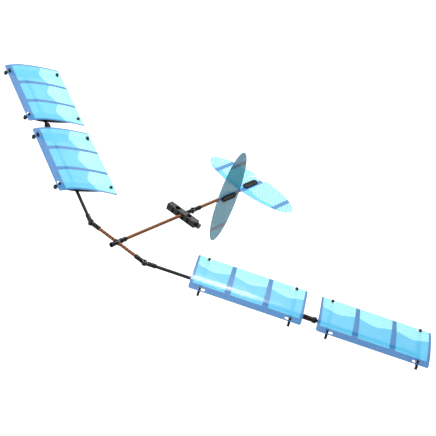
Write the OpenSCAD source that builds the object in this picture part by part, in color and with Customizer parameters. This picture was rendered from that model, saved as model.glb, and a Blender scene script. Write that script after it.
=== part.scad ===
// Swept-wing model glider from a construction kit: round rods plugged into small
// black connectors, film wing panels clipped on ribs, and two elliptical film tails.
// Y runs from the nose (0) to the tail, X towards the port wing tip, Z up.

/* [Rods] */
// Diameter of every rod
rod_d = 3; // [2.6:0.1:3]
// Radial gap around a rod that turns in its socket
turn_gap = 0.05; // [0.02:0.01:0.1]

/* [Fuselage] */
// Distance from the nose to the cross rod
cross_y = 8; // [8:0.5:10]
// Distance from the centre line to each sweep hinge
pivot_x = 32.4; // [28:0.2:40]
// Distance from the nose to the middle of the beam
beam_y = 96; // [70:1:96]
// Distance from the nose to the boom hinge
boom_y = 110; // [110:1:120]

/* [Nose fitting] */
// Depth of the open front socket
nose_depth = 6; // [4:0.5:6]
// Length of the nose fitting
nose_len = 18.4; // [16:0.2:22]

/* [Hinges] */
// Distance from a hinge's pivot to the mouth of each of its sockets
hinge_len = 10.4; // [9:0.2:14]
// Radius of the socket tubes
socket_r = 2.05; // [2.05:0.05:2.2]
// Radius of the flat knuckles
knuckle_r = 2.25; // [2.2:0.05:2.4]
// Height of a whole knuckle
knuckle_h = 4; // [3.8:0.1:4.1]
// Outer radius of the hollow pivot
pivot_r = 1.4; // [1.3:0.05:1.45]
// Radius of the hole through the pivot
pivot_hole_r = 1; // [0.6:0.05:1]

/* [Beam] */
// Length of the beam
beam_len = 33.4; // [33:0.2:40]
// Width of the beam along the fuselage
beam_w = 6.6; // [6.4:0.1:7]
// Height of the beam
beam_h = 6.2; // [6:0.1:7]
// Distance between neighbouring stations along the beam
beam_pitch = 6.8; // [6.6:0.1:7]
// Radius of the beam's peg holes
beam_hole_r = 2.05; // [1.8:0.05:2.2]

/* [Wing] */
// Sweep of the wings behind straight across
sweep = 30; // [0:1:45]
// Leading edge raised above the trailing edge
incidence = 2.4; // [0:0.1:5]
// Length of one film panel along the spar
panel_len = 100; // [80:1:120]
// Chord of the wing
chord = 56; // [50:1:60]
// Part of the chord ahead of the spar
spar_part = 0.33; // [0.3:0.01:0.4]
// Distance from the sweep hinge to the first panel
root_u = 41.5; // [30:0.5:60]
// Gap between the inner and the outer panel
panel_gap = 13; // [12.5:0.5:20]
// Height of the chord line above the spar
chord_z = 2.2; // [2:0.1:3]
// Height of the camber arch
camber_h = 3.4; // [2:0.1:5]
// Distance of each rib from its end of the panel
rib_inset = 10; // [8:0.5:20]
// Thickness of the ribs
rib_t = 2.2; // [1.4:0.1:2.4]
// Depth of a rib at the spar
rib_depth = 8.2; // [6.8:0.1:9]
// Thickness of the film
film_t = 0.4; // [0.3:0.1:0.6]

/* [Tail] */
// Half height of the fin and half span of the tailplane
tail_half_span = 50; // [40:1:60]
// Half chord of the fin
fin_half_chord = 16.6; // [14:0.1:16.6]
// Distance from the nose to the middle of the fin
fin_y = 159.9; // [155:0.1:159.9]
// Half chord of the tailplane
tail_half_chord = 19.1; // [16:0.1:19.1]
// Distance from the nose to the middle of the tailplane
tail_y = 196.7; // [196.7:0.1:205]
// Distance from the boom's centre line to the middle of a tail film
tail_lift = 2; // [2:0.05:2.3]
// Length of the oval tail clips
clip_len = 20; // [18:0.2:21]
// Width of the oval tail clips
clip_w = 5.6; // [5.2:0.1:5.8]

/* [Hidden] */
$fn = 48;

rod_r = rod_d / 2;
turn_r = rod_r + turn_gap;

// Extra length of a cutting shape past a face, and overlap of joined shapes
past = 1;
sunk = 0.1;

// Sides of the aeroplane: +1 is port, -1 is starboard
PORT = 1;
STARBOARD = -1;

// Connector details
collar_r = socket_r + 0.1;
collar_len = 1.4;
socket_floor = 4.4;
socket_start = 2.9;
tongue_h = 1.5;
tongue_r = knuckle_r - 0.1;
tongue_root = 0.6;
ear_gap = 0.15;
ear_z = tongue_h / 2 + ear_gap;
coupler_r = 2.25;
coupler_end_r = 2.35;
coupler_ring_r = 2.75;

// Nose fitting details
nose_r = 2.15;
nose_lip_r = 2.3;
nose_lip_len = 1.8;
nose_boss_r = 2.05;
nose_boss_len = 5.2;
nose_neck_r = 2.05;
nose_ring_r = 2.4;
nose_ring_y = cross_y + 4;
nose_ring_len = 1.8;
nose_end_r = 2.25;
nose_floor = cross_y + 2.6;

// Beam details
mid_pocket_len = 7.6;
mid_pocket_depth = 1.7;
side_pocket_len = 2.6;
side_pocket_x = 8.9;
side_pocket_depth = 1.1;
pocket_h = 4.4;
rim_r = beam_hole_r + 0.5;
rim_depth = 0.3;
end_bore = 6.2;
peg_flange_r = 2.9;
peg_flange_t = 1;
peg_neck_r = 1.6;
peg_neck_t = 1;
peg_knob_r = 2.5;
peg_knob_t = 1.8;

// Stations along a wing, measured from its sweep hinge
coupler_u = root_u + panel_len + panel_gap / 2;
outer_u = root_u + panel_len + panel_gap;
wing_end_u = outer_u + panel_len;
rib_stations = [
  root_u + rib_inset,
  root_u + panel_len - rib_inset,
  outer_u + rib_inset,
  wing_end_u - rib_inset
];
coupler_len = 12;
coupler_collar_len = 3.6;
spar_past_rib = 3;

// Chordwise places, measured aft of the spar
lead_v = -spar_part * chord;
trail_v = lead_v + chord;
slot_in = 2.4;
slot_len = 3.8;
slot_w = 2.4;
peg_in = 4.2;
peg_slot_len = 1.8;
peg_slot_w = 3;
slot_margin = 0.3;
finger_h = 1.5;
finger_len = 1.6;
peg_h = 1.7;
peg_len = 2.4;
finger_root = 0.8;
peg_root = 0.4;
prong_len = 2;
prong_drop = 4;
prong_root = 4;
prong_top = 0.3;
prong_nose_len = 0.8;
prong_nose_h = 0.9;
prong_back = 0.9;
prong_corner = 0.5;
prong_arm = 2.4;
rib_end_depth = 0.9;
rib_end = 0.01;
rib_gap = 0.05;
ring_r = 2.4;
CHORD_STEPS = 16;

// Tail details
ELLIPSE_STEPS = 72;
boom_past_tail = 10;
tail_rod_end = tail_y + boom_past_tail;
saddle_gap = 0.02;
saddle_drop = 2.3;
saddle_len = 14;
fin_clip_shift = 0.9;
tail_clip_shift = -1.4;
clip_t = 1.3;
clip_floor_t = 0.7;
clip_rim = 1;
ridge_t = 0.25;
ridge_w = 0.7;
ridge_pitch = 2.2;
ridge_count = 7;
ridge_angle = 35;
ridge_root = 0.3;
clip_pin_r = 0.4;
clip_pin_gap = 0.1;
clip_pin_x = 1.95;
clip_pin_z = 1;
clip_pin_y = 5.2;
recess_from = -6.6;
recess_to = 4.6;
recess_depth = 4.7;
slit_tip = [-11.4, 6];
slit_mouth = 2.2;

// ---- Shapes that repeat ----

module tube_x(from, to, r) {
  translate([from, 0, 0]) rotate([0, 90, 0]) cylinder(r = r, h = to - from);
}

module tube_y(from, to, r) {
  translate([0, from, 0]) rotate([-90, 0, 0]) cylinder(r = r, h = to - from);
}

// A rod socket along +X whose mouth is at hinge_len
module socket(bore_r) {
  difference() {
    union() {
      tube_x(socket_start, hinge_len, socket_r);
      tube_x(hinge_len - collar_len, hinge_len, collar_r);
    }
    tube_x(socket_floor, hinge_len + past, bore_r);
  }
}

// Hinge half with two ears, pivot at the origin, socket along +X
module hinge_fork(bore_r) {
  reach = knuckle_r + past;
  color("#2b2b2b") difference() {
    union() {
      translate([0, 0, -knuckle_h / 2]) cylinder(r = knuckle_r, h = knuckle_h);
      tube_x(0, socket_start + sunk, socket_r);
      socket(bore_r);
    }
    translate([-reach, -reach, -ear_z]) cube([reach + socket_start, 2 * reach, 2 * ear_z]);
    translate([0, 0, -knuckle_h]) cylinder(r = pivot_r, h = 2 * knuckle_h);
    tube_x(socket_floor, hinge_len + past, bore_r);
  }
}

// Hinge half with one tongue, pivot at the origin, socket along +X
module hinge_tongue(bore_r) {
  color("#333333") difference() {
    union() {
      translate([0, 0, -tongue_h / 2]) cylinder(r = tongue_r, h = tongue_h);
      translate([0, -socket_r, -tongue_h / 2])
        cube([socket_start + tongue_root, 2 * socket_r, tongue_h]);
      socket(bore_r);
    }
    translate([0, 0, -tongue_h]) cylinder(r = pivot_r + turn_gap, h = 2 * tongue_h);
    tube_x(socket_floor, hinge_len + past, bore_r);
  }
}

// Hollow pin that joins a fork and a tongue
module hinge_pivot() {
  color("#222222") difference() {
    translate([0, 0, -knuckle_h / 2]) cylinder(r = pivot_r, h = knuckle_h);
    translate([0, 0, -knuckle_h]) cylinder(r = pivot_hole_r, h = 2 * knuckle_h);
  }
}

// ---- Frames of the wings and of the boom ----

// Puts a child, drawn with the sweep hinge at the origin and +X outboard, on one side
module at_pivot(side, angle) {
  translate([0, cross_y, 0]) mirror([side < 0 ? 1 : 0, 0, 0])
    translate([pivot_x, 0, 0]) rotate([0, 0, angle]) children();
}

module on_wing(side) {
  at_pivot(side, sweep) children();
}

// Turns a chordwise profile (aft, up) into a prism from one spanwise station to another
module spanwise(from, to) {
  rotate([-incidence, 0, 0]) translate([from, 0, 0])
    rotate([90, 0, 90]) linear_extrude(to - from) children();
}

// ---- Wing section ----

// Camber from 0 at both edges to 1 at the highest point of the arch
function arch(t) = t < spar_part
  ? (2 * spar_part * t - t * t) / (spar_part * spar_part)
  : (1 - 2 * spar_part + 2 * spar_part * t - t * t) / ((1 - spar_part) * (1 - spar_part));
function film_mid(t) = chord_z + camber_h * arch(t);
function place_v(t) = lead_v + t * chord;
function rib_top(t) = film_mid(t) - film_t / 2 - rib_gap;
function rib_low(t) = rib_top(t) - rib_end_depth - (rib_depth - rib_end_depth) * arch(t);
chord_ts = [for (i = [0 : CHORD_STEPS]) i / CHORD_STEPS];
rib_ts = [for (t = chord_ts) rib_end + (1 - 2 * rib_end) * t];

module film_section() {
  polygon(concat(
    [for (t = chord_ts) [place_v(t), film_mid(t) + film_t / 2]],
    [for (i = [CHORD_STEPS : -1 : 0]) [place_v(chord_ts[i]), film_mid(chord_ts[i]) - film_t / 2]]
  ));
}

// Outline of the rib's web, just under the film
module rib_web() {
  polygon(concat(
    [for (t = rib_ts) [place_v(t), rib_top(t)]],
    [for (i = [CHORD_STEPS : -1 : 0]) [place_v(rib_ts[i]), rib_low(rib_ts[i])]]
  ));
}

// Prong that hangs down from the front of a rib, just past the leading edge
module rib_prong() {
  lead_z = rib_top(0);
  top_z = lead_z - prong_top;
  tip_z = lead_z - prong_drop;
  front_v = lead_v - prong_len;
  back_v = lead_v + prong_back;
  root_v = lead_v + prong_root;
  polygon([
    [root_v, top_z], [front_v + prong_nose_len, top_z],
    [front_v, top_z - prong_nose_h], [front_v, tip_z + prong_corner],
    [front_v + prong_corner, tip_z], [back_v - prong_corner, tip_z],
    [back_v, tip_z + prong_corner], [back_v, lead_z - prong_arm],
    [root_v, rib_low(prong_root / chord) + sunk]
  ]);
}

// Finger through the film's front slot
module rib_finger() {
  slot_t = slot_in / chord;
  translate([place_v(slot_t) - finger_len / 2, rib_top(slot_t) - finger_root])
    square([finger_len, film_t + finger_h + finger_root]);
}

// Peg through the film's rear slot
module rib_peg() {
  peg_t = 1 - peg_in / chord;
  translate([place_v(peg_t) - peg_len / 2, rib_top(peg_t) - peg_root])
    square([peg_len, film_t + peg_h + peg_root]);
}

module slot_cut(u, v, length, width) {
  translate([u, v, 0]) linear_extrude(2 * (chord_z + camber_h)) {
    translate([0, -width / 2]) square([length, width]);
    circle(d = width);
    translate([length, 0]) circle(d = width);
  }
}

// One film panel; its slots start at each rib and run towards the panel's middle
module film_panel(side, from) {
  to = from + panel_len;
  color("#9fe6f8", 0.85) on_wing(side) difference() {
    spanwise(from, to) film_section();
    rotate([-incidence, 0, 0]) {
      for (end = [[from + rib_inset, 1], [to - rib_inset, -1]]) {
        edge = end[0] - end[1] * (rib_t / 2 + slot_margin);
        front = edge + end[1] * slot_w / 2 - (end[1] < 0 ? slot_len : 0);
        rear = edge + end[1] * peg_slot_w / 2 - (end[1] < 0 ? peg_slot_len : 0);
        slot_cut(front, lead_v + slot_in, slot_len, slot_w);
        slot_cut(rear, trail_v - peg_in, peg_slot_len, peg_slot_w);
      }
    }
  }
}

module rib(side, number) {
  from = rib_stations[number - 1] - rib_t / 2;
  to = from + rib_t;
  color("#2e2e2e") on_wing(side) difference() {
    union() {
      spanwise(from, to) rib_web();
      spanwise(from, to) rib_prong();
      spanwise(from, to) rib_finger();
      spanwise(from, to) rib_peg();
      tube_x(from, to, ring_r);
    }
    tube_x(from - past, to + past, rod_r);
  }
}

module inner_spar(side) {
  color("#262626") on_wing(side) tube_x(socket_floor, coupler_u, rod_r);
}

module outer_spar(side) {
  color("#262626") on_wing(side) tube_x(coupler_u, rib_stations[3] + spar_past_rib, rod_r);
}

module coupler(side) {
  from = coupler_u - coupler_len / 2;
  to = coupler_u + coupler_len / 2;
  color("#2b2b2b") on_wing(side) difference() {
    union() {
      tube_x(from, to, coupler_r);
      tube_x(from, from + collar_len, coupler_end_r);
      tube_x(to - coupler_collar_len, to, coupler_ring_r);
    }
    tube_x(from - past, to + past, rod_r);
  }
}

// ---- Tail ----

module ellipse_plate(half_x, half_y, thick) {
  linear_extrude(thick) polygon([
    for (i = [0 : ELLIPSE_STEPS - 1])
      [half_x * cos(360 * i / ELLIPSE_STEPS), half_y * sin(360 * i / ELLIPSE_STEPS)]
  ]);
}

module oval(length, width) {
  run = length - width;
  translate([-width / 2, -run / 2]) square([width, run]);
  for (y = [-run / 2, run / 2]) translate([0, y]) circle(d = width);
}

// Draws a tail piece flat on the boom and turns it about the boom for its surface
module on_boom(y, turn) {
  translate([0, y, 0]) rotate([0, turn, 0]) children();
}

module clip_pins(r, from, to) {
  for (x = [-clip_pin_x, clip_pin_x], y = [-clip_pin_y, clip_pin_y])
    translate([x, y, from]) cylinder(r = r, h = to - from, $fn = 24);
}

module tail_film(half_chord, clip_shift) {
  difference() {
    translate([0, 0, tail_lift - film_t / 2])
      ellipse_plate(tail_half_span, half_chord, film_t);
    translate([0, clip_shift, 0]) clip_pins(clip_pin_r + clip_pin_gap, 0, 2 * tail_lift);
  }
}

// Notch in the tailplane's trailing edge and the slit beside it
module tail_notch() {
  edge = tail_half_chord - recess_depth;
  linear_extrude(2 * tail_lift) {
    translate([recess_from, edge]) square([recess_to - recess_from, 2 * recess_depth]);
    polygon([
      slit_tip, [recess_from + sunk, edge], [recess_from + sunk, tail_half_chord + past],
      [recess_from - slit_mouth, tail_half_chord + past], [recess_from - slit_mouth, edge]
    ]);
  }
}

module tail_clip() {
  base = tail_lift + film_t / 2 + saddle_gap;
  floor_z = base + clip_floor_t;
  inner_w = clip_w - 2 * clip_rim;
  difference() {
    translate([0, 0, base]) linear_extrude(clip_t) oval(clip_len, clip_w);
    translate([0, 0, floor_z]) linear_extrude(clip_t) oval(clip_len - 2 * clip_rim, inner_w);
  }
  for (i = [0 : ridge_count - 1])
    translate([0, (i - (ridge_count - 1) / 2) * ridge_pitch, floor_z])
      rotate([0, 0, ridge_angle])
        translate([-inner_w / 2 - ridge_root, -ridge_w / 2, -sunk])
          cube([inner_w + 2 * ridge_root, ridge_w, ridge_t + sunk]);
  clip_pins(clip_pin_r, clip_pin_z, base + sunk);
}

module tail_saddle() {
  top = tail_lift - film_t / 2 - saddle_gap;
  difference() {
    translate([0, 0, -saddle_drop]) linear_extrude(top + saddle_drop) oval(saddle_len, clip_w);
    tube_y(-saddle_len, saddle_len, turn_r);
    clip_pins(clip_pin_r, clip_pin_z, 2 * top);
  }
}

// ---- Fuselage pieces ----

module nose_fitting() {
  color("#2b2b2b") difference() {
    union() {
      tube_y(0, cross_y, nose_r);
      tube_y(0, nose_lip_len, nose_lip_r);
      tube_y(cross_y, nose_len, nose_neck_r);
      tube_y(nose_ring_y, nose_ring_y + nose_ring_len, nose_ring_r);
      tube_y(nose_len - collar_len, nose_len, nose_end_r);
      translate([0, cross_y, 0]) tube_x(-nose_boss_len / 2, nose_boss_len / 2, nose_boss_r);
    }
    tube_y(-past, nose_depth, turn_r);
    tube_y(nose_floor, nose_len + past, rod_r);
    translate([0, cross_y, 0]) tube_x(-nose_boss_len, nose_boss_len, rod_r);
  }
}

module cross_rod() {
  reach = pivot_x - socket_floor;
  color("#a9683c") translate([0, cross_y, 0]) tube_x(-reach, reach, rod_r);
}

module fuselage_rod() {
  color("#a9683c") tube_y(nose_floor, boom_y - socket_floor, rod_r);
}

module tail_boom() {
  color("#a9683c") tube_y(boom_y + socket_floor, tail_rod_end, rod_r);
}

// Pocket centred at x in the front (side -1) or the rear (side 1) of the beam
module beam_pocket(x, side, length, depth) {
  translate([x, side * beam_w / 2, 0]) cube([length, 2 * depth, pocket_h], center = true);
}

module beam() {
  color("#262626") translate([0, beam_y, 0]) difference() {
    translate([-beam_len / 2, -beam_w / 2, -beam_h / 2]) cube([beam_len, beam_w, beam_h]);
    tube_y(-beam_w, beam_w, rod_r);
    for (side = [-1, 1]) {
      translate([side * beam_pitch, 0, -beam_h]) cylinder(r = beam_hole_r, h = 2 * beam_h);
      for (face = [-1, 1])
        translate([side * beam_pitch, 0, face * (beam_h / 2 - rim_depth / 2) - rim_depth])
          cylinder(r = rim_r, h = 2 * rim_depth);
      for (x = [-side_pocket_x, side_pocket_x])
        beam_pocket(x, side, side_pocket_len, side_pocket_depth);
      beam_pocket(0, side, mid_pocket_len, mid_pocket_depth);
    }
    tube_x(beam_len / 2 - end_bore, beam_len, beam_hole_r);
    tube_x(-beam_len, -beam_len / 2 + end_bore, beam_hole_r);
  }
}

module beam_end_peg() {
  face = beam_len / 2;
  neck = face + peg_flange_t;
  knob = neck + peg_neck_t;
  color("#2e2e2e") translate([0, beam_y, 0]) {
    tube_x(face - end_bore, face, beam_hole_r);
    tube_x(face, neck, peg_flange_r);
    tube_x(neck, knob, peg_neck_r);
    tube_x(knob, knob + peg_knob_t, peg_knob_r);
  }
}

nose_fitting();
cross_rod();
fuselage_rod();
beam();
beam_end_peg();

at_pivot(PORT, 180) hinge_fork(rod_r);  // port_hinge_fork
at_pivot(PORT, 0) hinge_pivot();  // port_hinge_pivot
at_pivot(STARBOARD, 180) hinge_fork(rod_r);  // starboard_hinge_fork
at_pivot(STARBOARD, 0) hinge_pivot();  // starboard_hinge_pivot

translate([0, boom_y, 0]) rotate([0, 0, -90]) hinge_fork(rod_r);  // boom_hinge_fork
translate([0, boom_y, 0]) hinge_pivot();  // boom_hinge_pivot
translate([0, boom_y, 0]) rotate([0, 0, 90]) hinge_tongue(rod_r);  // boom_hinge_tongue
tail_boom();

on_wing(PORT) hinge_tongue(turn_r);  // port_hinge_tongue
inner_spar(PORT);  // port_inner_spar
coupler(PORT);  // port_coupler
outer_spar(PORT);  // port_outer_spar
rib(PORT, 1);  // port_rib_1
rib(PORT, 2);  // port_rib_2
rib(PORT, 3);  // port_rib_3
rib(PORT, 4);  // port_rib_4
film_panel(PORT, root_u);  // port_inner_panel
film_panel(PORT, outer_u);  // port_outer_panel

on_wing(STARBOARD) hinge_tongue(turn_r);  // starboard_hinge_tongue
inner_spar(STARBOARD);  // starboard_inner_spar
coupler(STARBOARD);  // starboard_coupler
outer_spar(STARBOARD);  // starboard_outer_spar
rib(STARBOARD, 1);  // starboard_rib_1
rib(STARBOARD, 2);  // starboard_rib_2
rib(STARBOARD, 3);  // starboard_rib_3
rib(STARBOARD, 4);  // starboard_rib_4
film_panel(STARBOARD, root_u);  // starboard_inner_panel
film_panel(STARBOARD, outer_u);  // starboard_outer_panel

color("#6b96a6", 0.8) on_boom(fin_y, 90) tail_film(fin_half_chord, fin_clip_shift);  // fin_film
color("#3a2c24") on_boom(fin_y + fin_clip_shift, 90) tail_clip();  // fin_clip
color("#2b2b2b") on_boom(fin_y + fin_clip_shift, 90) tail_saddle();  // fin_saddle
color("#a9f0fb", 0.85) on_boom(tail_y, 0) difference() {  // tailplane_film
    tail_film(tail_half_chord, tail_clip_shift);
    tail_notch();
  }
color("#3a2c24") on_boom(tail_y + tail_clip_shift, 0) tail_clip();  // tailplane_clip
color("#2b2b2b") on_boom(tail_y + tail_clip_shift, 0) tail_saddle();  // tailplane_saddle
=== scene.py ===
"""Looks for a swept-wing kit glider: printed film panels, wound rods and black connectors."""

import math

import bmesh
import bpy
from mathutils import Matrix, Vector


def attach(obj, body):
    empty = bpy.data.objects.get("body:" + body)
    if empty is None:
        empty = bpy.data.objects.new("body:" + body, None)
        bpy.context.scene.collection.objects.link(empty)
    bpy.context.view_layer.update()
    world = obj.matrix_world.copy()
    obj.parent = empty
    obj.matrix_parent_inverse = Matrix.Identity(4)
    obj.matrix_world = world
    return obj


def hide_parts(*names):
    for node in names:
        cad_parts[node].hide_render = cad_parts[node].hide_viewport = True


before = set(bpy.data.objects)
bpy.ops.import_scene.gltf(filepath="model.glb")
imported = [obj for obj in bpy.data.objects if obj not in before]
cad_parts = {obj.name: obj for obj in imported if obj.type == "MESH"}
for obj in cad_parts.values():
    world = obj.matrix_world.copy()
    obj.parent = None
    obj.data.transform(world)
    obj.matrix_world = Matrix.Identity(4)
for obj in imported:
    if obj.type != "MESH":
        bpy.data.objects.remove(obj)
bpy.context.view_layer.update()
MM = 0.001

# ---- Design sizes, in millimetres, the same as the CAD model's ----
CROSS_Y = 8.0
PIVOT_X = 32.4
SWEEP = math.radians(30)
INCIDENCE = math.radians(2.4)
PANEL_LEN = 100.0
CHORD = 56.0
SPAR_PART = 0.33
LEAD_V = -SPAR_PART * CHORD
CHORD_Z = 2.2
CAMBER_H = 3.4
ROOT_U = 41.5
PANEL_GAP = 13.0
OUTER_U = ROOT_U + PANEL_LEN + PANEL_GAP
RIB_INSET = 10.0
# Slots for a rib: distance in from the edge of the film, length and width
FRONT_SLOT = (2.4, 3.8, 2.4)
REAR_SLOT = (4.2, 1.8, 3.0)
# Distance from a rib's middle to the start of its slots
SLOT_START = 1.4
CORNER_R = 2.0
TAIL_LIFT = 2.0
TAIL_HALF_SPAN = 50.0
FIN_Y = 159.9
FIN_HALF_CHORD = 16.6
TAIL_Y = 196.7
TAIL_HALF_CHORD = 19.1
# Notch and slit of the tailplane, about its own middle
NOTCH_LEFT, NOTCH_RIGHT, NOTCH_FRONT, NOTCH_REAR = -6.6, 4.6, 14.4, 21.0
SLIT_TIP, SLIT_SIDE, SLIT_MOUTH = (-11.4, 6.0), (-9.0, 14.0), (-8.8, 21.0)
# The film is thinner here than in the CAD model
FILM_T = 0.3
ELLIPSE_STEPS = 144

# ---- The print on the films: parts of the chord, and the rest in millimetres ----
BAND_PART = 0.117
PEAK_PART, FOOT_PART = 0.555, 0.65
CELL = PANEL_LEN / 3
STRIP_HALF_FRONT, STRIP_HALF_REAR = 2.7, 1.8
BORDER_MARGIN = 2.4
# On the tail films the jagged border's places are parts of the half chord
TAIL_PEAK_PART, TAIL_FOOT_PART = -0.66, -0.44
TAIL_BAND_PITCH = 35.2
TAIL_BAND_HALF = 2.25
TAIL_BORDER_MARGIN = 2.2
PRINT_EDGE_BLUR = 0.25

# ---- Colours of the print, linear ----
PALE = (0.36, 0.82, 0.90, 1)
CYAN = (0.11, 0.51, 0.77, 1)
BLUE = (0.042, 0.19, 0.44, 1)
DOTS = (0.02, 0.20, 0.30, 1)
WING_COLOURS = (PALE, CYAN, BLUE, DOTS)
# The fin's colours are the wing and tailplane print darkened all over: painted shade for the fin's
# side that lies in shade
FIN_PAINTED_SHADE_COLOURS = ((0.036, 0.28, 0.39, 1), (0.034, 0.27, 0.38, 1), (0.012, 0.045, 0.13, 1),
               (0.02, 0.17, 0.27, 1))


# Length of rod, in millimetres, for one turn of its winding
WINDING_LEAD = 3.4


# ---- Node graphs ----
# Places of the colour sockets on a Mix node
COLOUR_A, COLOUR_B, COLOUR_OUT = 6, 7, 2


class Graph:
    """A material's node tree with one Principled shader, and short calls that add nodes to it."""

    def __init__(self, name):
        self.mat = bpy.data.materials.new(name)
        self.mat.use_nodes = True
        self.tree = self.mat.node_tree
        self.shader = self.tree.nodes["Principled BSDF"]

    def node(self, kind, inputs=(), **settings):
        made = self.tree.nodes.new(kind)
        for key, value in settings.items():
            setattr(made, key, value)
        for key, value in dict(inputs).items():
            self.feed(made.inputs[key], value)
        return made

    def feed(self, socket, value):
        if isinstance(value, bpy.types.NodeSocket):
            self.tree.links.new(value, socket)
        else:
            socket.default_value = value

    def math(self, kind, a, b=0.0, clamp=False):
        made = self.node("ShaderNodeMath", operation=kind, use_clamp=clamp)
        for socket, value in zip(made.inputs, (a, b)):
            self.feed(socket, value)
        return made.outputs[0]

    def place(self):
        """The shaded point in millimetres, as a vector and as x, y and z.

        It is in the piece's own frame, which is the row frame at rest.
        """
        coord = self.node("ShaderNodeTexCoord")
        scaled = self.node("ShaderNodeVectorMath", operation="SCALE")
        self.feed(scaled.inputs[0], coord.outputs["Object"])
        scaled.inputs["Scale"].default_value = 1 / MM
        parts = self.node("ShaderNodeSeparateXYZ", {"Vector": scaled.outputs[0]})
        return scaled.outputs[0], parts.outputs

    def mix(self, factor, a, b, kind="MIX"):
        made = self.node("ShaderNodeMix", data_type="RGBA", blend_type=kind)
        self.feed(made.inputs["Factor"], factor)
        self.feed(made.inputs[COLOUR_A], a)
        self.feed(made.inputs[COLOUR_B], b)
        return made.outputs[COLOUR_OUT]

    def noise(self, vector, scale, detail=3.0, rough=0.55):
        made = self.node("ShaderNodeTexNoise", {"Vector": vector, "Scale": scale, "Detail": detail,
                                                "Roughness": rough})
        return made.outputs["Fac"]

    def spread(self, value, low, high, to_low, to_high):
        made = self.node("ShaderNodeMapRange", {"Value": value, "From Min": low, "From Max": high,
                                                "To Min": to_low, "To Max": to_high})
        return made.outputs["Result"]

    def bump(self, height, depth_mm, strength, below=None):
        made = self.node("ShaderNodeBump", {"Height": height, "Strength": strength,
                                            "Distance": depth_mm * MM})
        if below is not None:
            self.feed(made.inputs["Normal"], below)
        return made.outputs["Normal"]

    def set(self, **values):
        for key, value in values.items():
            self.feed(self.shader.inputs[key.replace("_", " ")], value)
        return self.mat


def soft_step(g, value, edge, blur):
    """1 where value is under edge and 0 where it is over, with a border as wide as blur."""
    return g.math("ADD", g.math("DIVIDE", g.math("SUBTRACT", edge, value), blur), 0.5, clamp=True)


def colour_ramp(g, factor, stops):
    """A colour ramp through (place, colour) stops."""
    ramp = g.node("ShaderNodeValToRGB", {"Fac": factor})
    while len(ramp.color_ramp.elements) < len(stops):
        ramp.color_ramp.elements.new(0.5)
    for element, (at, colour) in zip(ramp.color_ramp.elements, stops):
        element.position = at
        element.color = colour
    return ramp.outputs["Color"]


def moulded_black(name, colour, rough, grain):
    """Black plastic with faint patches, a fine grain and a little wear on the grain's tops."""
    g = Graph(name)
    where, _ = g.place()
    patches = g.noise(where, 0.35, 4.0)
    grit = g.noise(where, grain, 5.0, 0.7)
    tone = g.mix(g.spread(patches, 0.3, 0.7, 0.0, 1.0), colour, [c * 1.7 for c in colour[:3]] + [1])
    worn = g.spread(grit, 0.62, 0.8, 0.0, 0.35)
    base = g.mix(worn, tone, (0.05, 0.05, 0.05, 1))
    finish = g.math("ADD", g.spread(patches, 0.3, 0.7, rough - 0.06, rough + 0.08),
                    g.spread(grit, 0.3, 0.7, -0.04, 0.05))
    return g.set(Base_Color=base, Roughness=finish, Specular_IOR_Level=0.19,
                 Normal=g.bump(grit, 0.05, 0.5))


def wound_rod(name, along, axis_at):
    """Brown rod wound from a strip: a helix of slightly different browns with a fine seam.

    along is the rod's axis, 0 for x or 1 for y, and axis_at a point (x, y) on its centre line.
    """
    g = Graph(name)
    where, xyz = g.place()
    across = g.math("SUBTRACT", xyz[1 - along], axis_at[1 - along])
    angle = g.math("DIVIDE", g.math("ARCTAN2", xyz[2], across), 2 * math.pi)
    turns = g.math("ADD", g.math("DIVIDE", xyz[along], WINDING_LEAD), angle)
    browns = colour_ramp(g, g.math("FRACT", turns), [
        (0.0, (0.025, 0.008, 0.0025, 1)), (0.1, (0.125, 0.045, 0.0125, 1)),
        (0.4, (0.29, 0.105, 0.034, 1)), (0.6, (0.19, 0.064, 0.018, 1)),
        (0.92, (0.11, 0.034, 0.009, 1))])
    fibres = g.node("ShaderNodeMapping", {"Vector": where})
    stretch = [6.0, 6.0, 6.0]
    stretch[along] = 0.5
    fibres.inputs["Scale"].default_value = stretch
    grain = g.noise(fibres.outputs[0], 1.6, 5.0, 0.65)
    shade = g.spread(grain, 0.25, 0.75, 0.72, 1.25)
    base = g.mix(1.0, browns, shade, "MULTIPLY")
    seam = g.math("PINGPONG", turns, 0.5)
    height = g.math("ADD", g.spread(seam, 0.0, 0.06, 0.0, 1.0), g.math("MULTIPLY", grain, 0.5))
    return g.set(Base_Color=base, Roughness=g.spread(grain, 0.3, 0.7, 0.42, 0.62),
                 Specular_IOR_Level=0.25, Normal=g.bump(height, 0.06, 0.7))


def wave(g, value, pitch):
    return g.math("SINE", g.math("MULTIPLY", value, 2 * math.pi / pitch))


def hatch(g, a, b, pitch, strength):
    """Printed lines at 45 degrees to a and b: strength on a line and 0 between lines."""
    return g.spread(wave(g, g.math("ADD", a, b), pitch), 0.0, 0.9, 0.0, strength)


def dots(g, a, b, pitch, strength):
    """A net of small printed dots: strength in a dot and 0 between dots."""
    net = g.math("MULTIPLY", wave(g, a, pitch), wave(g, b, pitch))
    return g.spread(net, 0.05, 0.6, 0.0, strength)


def mountain(g, offset, half, peak, foot):
    """Where the jagged border runs in a cell: at peak in its middle and at foot by its sides."""
    slope = [(0.0, 0.0), (0.22, 0.10), (0.52, 0.45), (0.78, 0.78), (1.0, 1.0)]
    greys = colour_ramp(g, g.math("DIVIDE", offset, half, clamp=True),
                        [(at, (value, value, value, 1)) for at, value in slope])
    return g.spread(greys, 0.0, 1.0, peak, foot)


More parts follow.
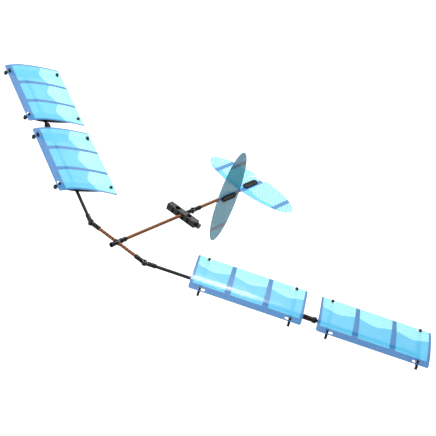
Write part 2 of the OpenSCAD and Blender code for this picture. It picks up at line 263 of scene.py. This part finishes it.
def film_finish(g, base, where, alpha):
    """Gloss, see-through and gentle waves that every film shares."""
    waves = g.noise(where, 0.045, 2.0)
    fine = g.noise(where, 3.0, 3.0)
    tone = g.mix(1.0, base, g.spread(g.noise(where, 0.08, 4.0), 0.3, 0.7, 0.95, 1.03), "MULTIPLY")
    normal = g.bump(fine, 0.012, 0.25, below=g.bump(waves, 1.2, 0.35))
    return g.set(Base_Color=tone, Roughness=g.spread(fine, 0.3, 0.7, 0.16, 0.24), Alpha=alpha,
                 Specular_IOR_Level=0.25, Coat_Weight=0.08, Coat_Roughness=0.12, Normal=normal)


def wing_print(name, side, from_u):
    """Three cells between blue strips behind a blue leading band, with a pale dotted rear."""
    pale_colour, cyan_colour, band_colour, dot_colour = WING_COLOURS
    g = Graph(name)
    where, xyz = g.place()
    x = g.math("SUBTRACT", g.math("MULTIPLY", xyz[0], side), PIVOT_X)
    y = g.math("SUBTRACT", xyz[1], CROSS_Y)
    c, s = math.cos(SWEEP), math.sin(SWEEP)
    along = g.math("ADD", g.math("MULTIPLY", x, c), g.math("MULTIPLY", y, s))
    u = g.math("SUBTRACT", along, from_u)
    v = g.math("SUBTRACT", g.math("MULTIPLY", y, c), g.math("MULTIPLY", x, s))
    t = g.math("DIVIDE", g.math("SUBTRACT", v, LEAD_V), CHORD)
    strip = g.math("PINGPONG", u, CELL / 2)
    half_strip = g.spread(t, BAND_PART, 1.0, STRIP_HALF_FRONT, STRIP_HALF_REAR)
    on_strip = soft_step(g, strip, half_strip, PRINT_EDGE_BLUR)
    offset = g.math("SUBTRACT", CELL / 2, strip)
    border = mountain(g, offset, CELL / 2 - BORDER_MARGIN, PEAK_PART, FOOT_PART)
    front = soft_step(g, t, border, 0.006)
    pale = g.mix(dots(g, u, v, 3.8, 0.5), pale_colour, dot_colour)
    cyan = g.mix(hatch(g, u, v, 3.4, 0.22), cyan_colour, dot_colour)
    with_strips = g.mix(on_strip, g.mix(front, pale, cyan), band_colour)
    base = g.mix(soft_step(g, t, BAND_PART, 0.008), with_strips, band_colour)
    return film_finish(g, base, where, 0.78)


def tail_print(name, along, shift, middle_y, half_chord, colours, alpha):
    """Three blue bands and a jagged border in front. along is the axis of the film's length."""
    pale_colour, cyan_colour, band_colour, dot_colour = colours
    g = Graph(name)
    where, xyz = g.place()
    a = g.math("SUBTRACT", xyz[along], shift)
    b = g.math("SUBTRACT", xyz[1], middle_y)
    half_cell = TAIL_BAND_PITCH / 2
    band = g.math("PINGPONG", a, half_cell)
    inside = soft_step(g, g.math("ABSOLUTE", a), 3 * half_cell, 0.2)
    on_any = soft_step(g, band, TAIL_BAND_HALF, PRINT_EDGE_BLUR)
    on_band = g.math("MULTIPLY", on_any, inside)
    offset = g.math("SUBTRACT", half_cell, band)
    border = mountain(g, offset, half_cell - TAIL_BORDER_MARGIN,
                      TAIL_PEAK_PART * half_chord, TAIL_FOOT_PART * half_chord)
    front = soft_step(g, b, border, 0.3)
    pale = g.mix(dots(g, a, b, 4.2, 0.8), pale_colour, dot_colour)
    field = g.mix(front, pale, cyan_colour)
    base = g.mix(on_band, field, band_colour)
    return film_finish(g, base, where, alpha)


# ---- Mesh helpers ----
def mesh_object(name, build):
    mesh = bpy.data.meshes.new(name)
    made = bpy.data.objects.new(name, mesh)
    bpy.context.collection.objects.link(made)
    bm = bmesh.new()
    build(bm)
    bmesh.ops.recalc_face_normals(bm, faces=bm.faces)
    bm.to_mesh(mesh)
    bm.free()
    return made


def prism(bm, outline, low, high):
    """A closed prism over a flat outline of (x, y) points."""
    under = [bm.verts.new((x, y, low)) for x, y in outline]
    over = [bm.verts.new((x, y, high)) for x, y in outline]
    bm.faces.new(list(reversed(under)))
    bm.faces.new(over)
    count = len(outline)
    for i in range(count):
        j = (i + 1) % count
        bm.faces.new((under[i], under[j], over[j], over[i]))


def arc(cx, cy, r, start, end, steps=8):
    turn = [math.radians(start + (end - start) * i / steps) for i in range(steps + 1)]
    return [(cx + r * math.cos(a), cy + r * math.sin(a)) for a in turn]


def slot_outline(u, v, length, width):
    """A slot with round ends from (u, v) to (u + length, v)."""
    return arc(u + length, v, width / 2, -90, 90) + arc(u, v, width / 2, 90, 270)


def corner_outline(u, v, turn_u, turn_v, r):
    """What rounding takes off a corner at (u, v); the film lies towards (turn_u, turn_v)."""
    turns = [math.radians(90 * k / 8) for k in range(9)]
    curve = [(u + turn_u * (r - r * math.sin(a)), v + turn_v * (r - r * math.cos(a)))
             for a in turns]
    return curve + [(u - turn_u, v + turn_v * r), (u - turn_u, v - turn_v),
                    (u + turn_u * r, v - turn_v)]


def cut(piece, cutters):
    """Cuts closed cutters out of the piece, for good."""
    tool = mesh_object(piece.name + "_cutter", cutters)
    step = piece.modifiers.new("cut", "BOOLEAN")
    step.operation = "DIFFERENCE"
    step.solver = "EXACT"
    step.object = tool
    bpy.context.view_layer.update()
    graph = bpy.context.evaluated_depsgraph_get()
    result = bpy.data.meshes.new_from_object(piece.evaluated_get(graph))
    piece.modifiers.clear()
    piece.data = result
    bpy.data.objects.remove(tool)


def shade_smooth(piece, angle):
    piece.data.polygons.foreach_set("use_smooth", [True] * len(piece.data.polygons))
    piece.data.set_sharp_from_angle(angle=math.radians(angle))


def dress(piece, material):
    piece.data.materials.clear()
    piece.data.materials.append(material)


# ---- Film ----
def arch(t):
    """Camber from 0 at both edges to 1 at the highest point of the arch."""
    if t < SPAR_PART:
        return (2 * SPAR_PART * t - t * t) / SPAR_PART ** 2
    return (1 - 2 * SPAR_PART + 2 * SPAR_PART * t - t * t) / (1 - SPAR_PART) ** 2


def wing_matrix(side):
    """From a wing's own millimetres (spanwise, aft, up) to metres in the row frame."""
    place = Matrix.Translation((PIVOT_X, 0, 0)) @ Matrix.Rotation(SWEEP, 4, "Z")
    flip = Matrix.Diagonal((side, 1, 1, 1))
    return Matrix.Scale(MM, 4) @ Matrix.Translation((0, CROSS_Y, 0)) @ flip @ place


def film_panel(name, side, from_u):
    """A cambered sheet with its rib slots cut out and its corners rounded."""
    to_u = from_u + PANEL_LEN
    trail_v = LEAD_V + CHORD
    spans, chords = 40, 48
    tilt = Matrix.Rotation(-INCIDENCE, 4, "X")

    def sheet(bm):
        layers = []
        for lift in (FILM_T / 2, -FILM_T / 2):
            grid = []
            for i in range(spans + 1):
                u = from_u + PANEL_LEN * i / spans
                row = []
                for j in range(chords + 1):
                    t = j / chords
                    at = (u, LEAD_V + t * CHORD, CHORD_Z + CAMBER_H * arch(t) + lift)
                    row.append(bm.verts.new(at))
                grid.append(row)
            layers.append(grid)
        top, low = layers
        for i in range(spans):
            for j in range(chords):
                bm.faces.new((top[i][j], top[i + 1][j], top[i + 1][j + 1], top[i][j + 1]))
                bm.faces.new((low[i][j], low[i][j + 1], low[i + 1][j + 1], low[i + 1][j]))
        for i in range(spans):
            for j in (0, chords):
                bm.faces.new((top[i][j], top[i + 1][j], low[i + 1][j], low[i][j]))
        for j in range(chords):
            for i in (0, spans):
                bm.faces.new((top[i][j], top[i][j + 1], low[i][j + 1], low[i][j]))

    def cutters(bm):
        low, high = 0.0, 2 * (CHORD_Z + CAMBER_H)
        for at, way in ((from_u + RIB_INSET, 1), (to_u - RIB_INSET, -1)):
            for edge, turn, slot in ((LEAD_V, 1, FRONT_SLOT), (trail_v, -1, REAR_SLOT)):
                inset, length, width = slot
                start = at - way * SLOT_START + way * width / 2 - (length if way < 0 else 0)
                prism(bm, slot_outline(start, edge + turn * inset, length, width), low, high)
        for u, turn_u in ((from_u, 1), (to_u, -1)):
            for v, turn_v in ((LEAD_V, 1), (trail_v, -1)):
                prism(bm, corner_outline(u, v, turn_u, turn_v, CORNER_R), low, high)

    made = mesh_object(name + "_print", sheet)
    cut(made, cutters)
    made.data.transform(wing_matrix(side) @ tilt)
    if side < 0:
        made.data.flip_normals()
    shade_smooth(made, 50)
    dress(made, wing_print(name + "_film", side, from_u))
    port = "port" if side > 0 else "starboard"
    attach(made, port + "_wing")
    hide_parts(name)


def tail_notch(bm):
    """The notch in the tailplane's rear edge and the slit beside it."""
    prism(bm, [(NOTCH_LEFT, NOTCH_FRONT), (NOTCH_RIGHT, NOTCH_FRONT),
               (NOTCH_RIGHT, NOTCH_REAR), (NOTCH_LEFT, NOTCH_REAR)], -1, 1)
    prism(bm, [SLIT_TIP, (NOTCH_LEFT, NOTCH_FRONT), (NOTCH_LEFT - 0.01, NOTCH_REAR),
               SLIT_MOUTH, SLIT_SIDE], -1, 1)


def tail_sheet(name, body, half_chord, middle_y, upright, material):
    """An elliptical sheet: the upright fin, or the flat tailplane with its notch."""
    def sheet(bm):
        turns = [math.radians(a * 360 / ELLIPSE_STEPS) for a in range(ELLIPSE_STEPS)]
        outline = [(TAIL_HALF_SPAN * math.cos(a), half_chord * math.sin(a)) for a in turns]
        prism(bm, outline, -FILM_T / 2, FILM_T / 2)

    made = mesh_object(name + "_print", sheet)
    if not upright:
        cut(made, tail_notch)
    lift = Matrix.Translation((0, middle_y, 0))
    turn = Matrix.Rotation(math.radians(90) if upright else 0, 4, "Y")
    made.data.transform(Matrix.Scale(MM, 4) @ lift @ turn @ Matrix.Translation((0, 0, TAIL_LIFT)))
    dress(made, material)
    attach(made, body)
    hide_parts(name)


# ---- Camera, light and floor, in metres ----
CAMERA_AT = (0.6206, -0.9179, 0.7440)
CAMERA_TURN = (29.97, 31.75, -18.71)
CAMERA_LENS = 128.67
FLOOR_Z = -0.4
FLOOR_HALF_SIZE = 8


def make_camera():
    """The camera, from its azimuth (0 is ahead of the nose), elevation and roll in degrees."""
    azimuth, elevation, roll = (math.radians(degrees) for degrees in CAMERA_TURN)
    back = Vector((math.sin(azimuth) * math.cos(elevation),
                   -math.cos(azimuth) * math.cos(elevation), math.sin(elevation)))
    right = (-back).cross(Vector((0, 0, 1))).normalized()
    down = (-back).cross(right)
    image_right = math.cos(roll) * right + math.sin(roll) * down
    image_down = math.cos(roll) * down - math.sin(roll) * right
    turn = Matrix((image_right, -image_down, back)).transposed()
    data = bpy.data.cameras.new("camera")
    data.lens, data.sensor_width = CAMERA_LENS, 36.0
    data.clip_end = 50
    camera = bpy.data.objects.new("camera", data)
    camera.matrix_world = Matrix.Translation(CAMERA_AT) @ turn.to_4x4()
    bpy.context.collection.objects.link(camera)
    bpy.context.scene.camera = camera


def area_light(name, at, to, size, power):
    """A white rectangular light at one point, aimed at another."""
    data = bpy.data.lights.new(name, "AREA")
    data.shape = "RECTANGLE"
    data.size, data.size_y = size
    data.energy = power
    made = bpy.data.objects.new(name, data)
    made.location = at
    made.rotation_mode = "QUATERNION"
    made.rotation_quaternion = (Vector(to) - Vector(at)).to_track_quat("-Z", "Y")
    bpy.context.collection.objects.link(made)


def make_studio():
    world = bpy.data.worlds.new("studio")
    world.use_nodes = True
    background = world.node_tree.nodes["Background"]
    background.inputs["Color"].default_value = (1, 1, 1, 1)
    background.inputs["Strength"].default_value = 0.32
    scene = bpy.context.scene
    scene.world = world
    scene.view_settings.view_transform = "Standard"
    area_light("top", (-0.3, -0.3, 1.7), (0, 0.08, 0), (1.7, 1.6), 38)
    area_light("back", (-1.07, 1.17, 0.98), (0, 0.1, 0), (1.6, 0.9), 5)
    area_light("gloss", (-0.158, 0.421, 0.400), (0.068, 0.029, 0.006), (0.16, 0.15), 1.75)
    floor = mesh_object("floor", lambda bm: bmesh.ops.create_grid(
        bm, x_segments=1, y_segments=1, size=FLOOR_HALF_SIZE))
    floor.location.z = FLOOR_Z
    g = Graph("pale_floor")
    where, _ = g.place()
    tint = g.mix(g.noise(where, 0.004, 2.0), (0.93, 0.93, 0.93, 1), (0.96, 0.96, 0.96, 1))
    dress(floor, g.set(Base_Color=tint, Roughness=0.9, Emission_Color=(1, 1, 1, 1),
                       Emission_Strength=0.45))


# ---- Dress the CAD pieces ----
def round_edges(piece, width_mm):
    weld = piece.modifiers.new("weld", "WELD")
    weld.merge_threshold = 0.002 * MM
    bevel = piece.modifiers.new("bevel", "BEVEL")
    bevel.width = width_mm * MM
    bevel.segments = 2
    bevel.limit_method = "ANGLE"
    bevel.angle_limit = math.radians(40)
    bevel.harden_normals = False


def finish_cad(materials):
    rods = {"cross_rod": "rod_x", "fuselage_rod": "rod_y", "tail_boom": "rod_y"}
    for name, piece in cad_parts.items():
        if name in rods:
            dress(piece, materials[rods[name]])
        elif name.endswith("_spar"):
            dress(piece, materials["black_rod"])
        elif name.endswith("_clip"):
            dress(piece, materials["clip"])
            round_edges(piece, 0.12)
        else:
            dress(piece, materials["black"])
            if "rib" not in name:
                round_edges(piece, 0.15)


make_camera()
make_studio()
MATERIALS = {
    "black": moulded_black("black_plastic", (0.005, 0.005, 0.005, 1), 0.25, 9.0),
    "black_rod": moulded_black("black_rod", (0.009, 0.009, 0.009, 1), 0.24, 14.0),
    "clip": moulded_black("clip_plastic", (0.008, 0.005, 0.004, 1), 0.48, 6.0),
    "rod_x": wound_rod("wound_rod_across", 0, (0, CROSS_Y)),
    "rod_y": wound_rod("wound_rod_along", 1, (0, 0)),
}
finish_cad(MATERIALS)
for side, word in ((1, "port"), (-1, "starboard")):
    film_panel(word + "_inner_panel", side, ROOT_U)
    film_panel(word + "_outer_panel", side, OUTER_U)
# The fin's print carries painted shade: the same print as the tailplane, in darker colours
tail_sheet("fin_film", "fin", FIN_HALF_CHORD, FIN_Y, True,
           tail_print("fin_print_painted_shade", 2, 1.0, FIN_Y, FIN_HALF_CHORD, FIN_PAINTED_SHADE_COLOURS, 0.78))
tail_sheet("tailplane_film", "tailplane", TAIL_HALF_CHORD, TAIL_Y, False,
           tail_print("tailplane_print", 0, 2.4, TAIL_Y, TAIL_HALF_CHORD, WING_COLOURS, 0.80))
